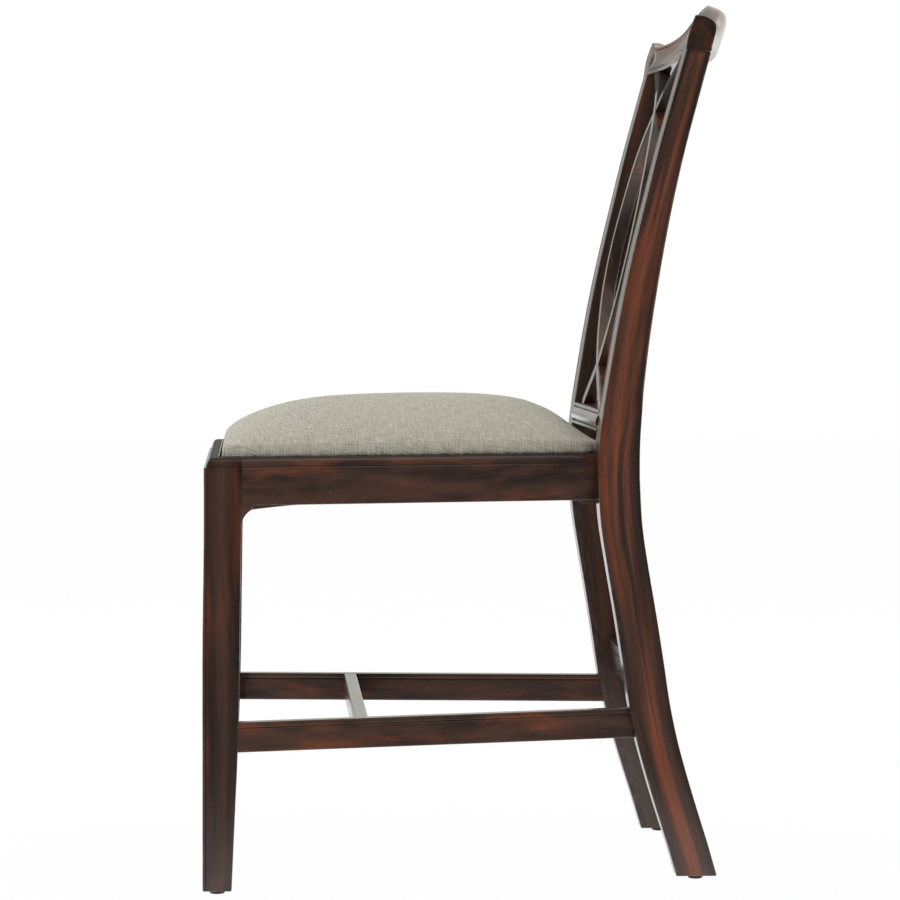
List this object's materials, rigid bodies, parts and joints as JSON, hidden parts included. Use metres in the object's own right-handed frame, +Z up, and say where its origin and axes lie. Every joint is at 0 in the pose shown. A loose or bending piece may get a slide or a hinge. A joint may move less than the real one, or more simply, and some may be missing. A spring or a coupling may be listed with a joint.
{
  "type": "dining side chair",
  "caption": "Wooden dining side chair with an arched crest rail, interlaced open back, drop-in upholstered seat, stretchers and foot glides.",
  "frame": {"origin": "on the floor, under the middle of the whole chair's box", "axes": "+Z up, -Y the way the sitter faces, +X to the sitter's left"},
  "size_m": [0.51, 0.582, 0.9526],
  "materials": {
    "mahogany": "dark red-brown stain under a satin lacquer, with rubbed edges and small dark flecks",
    "secondary_wood": "bare planed hardwood",
    "plywood": "bare plywood",
    "seat_fabric": "linen-like plain weave in beige and grey flecks",
    "foam": "open-cell upholstery foam",
    "dust_cloth": "thin black lining cloth",
    "screw_steel": "plain zinc-plated wood screw",
    "glide_nylon": "black nylon"
  },
  "bodies": {
    "root": {"front_leg_left": "mahogany", "front_leg_right": "mahogany", "rear_leg_left": "mahogany", "rear_leg_right": "mahogany", "front_rail": "mahogany", "back_rail": "mahogany", "side_rail_left": "mahogany", "side_rail_right": "mahogany", "side_stretcher_left": "mahogany", "side_stretcher_right": "mahogany", "cross_stretcher": "mahogany", "rear_stretcher": "mahogany", "lower_back_rail": "mahogany", "crest_rail": "mahogany", "back_rib_left": "mahogany", "back_rib_right": "mahogany", "corner_block_front_left": "secondary_wood", "corner_block_front_right": "secondary_wood", "corner_block_rear_left": "secondary_wood", "corner_block_rear_right": "secondary_wood", "block_screw_front_left_side": "screw_steel", "block_screw_front_left_cross": "screw_steel", "block_screw_front_right_side": "screw_steel", "block_screw_front_right_cross": "screw_steel", "block_screw_rear_left_side": "screw_steel", "block_screw_rear_left_cross": "screw_steel", "block_screw_rear_right_side": "screw_steel", "block_screw_rear_right_cross": "screw_steel", "seat_screw_front_left": "screw_steel", "seat_screw_front_right": "screw_steel", "seat_screw_rear_left": "screw_steel", "seat_screw_rear_right": "screw_steel", "foot_glide_front_left": "glide_nylon", "foot_glide_front_right": "glide_nylon", "foot_glide_rear_left": "glide_nylon", "foot_glide_rear_right": "glide_nylon", "seat_board": "plywood", "seat_foam": "foam", "seat_cover": "seat_fabric", "dust_cloth": "dust_cloth"}
  },
  "joints": []
}
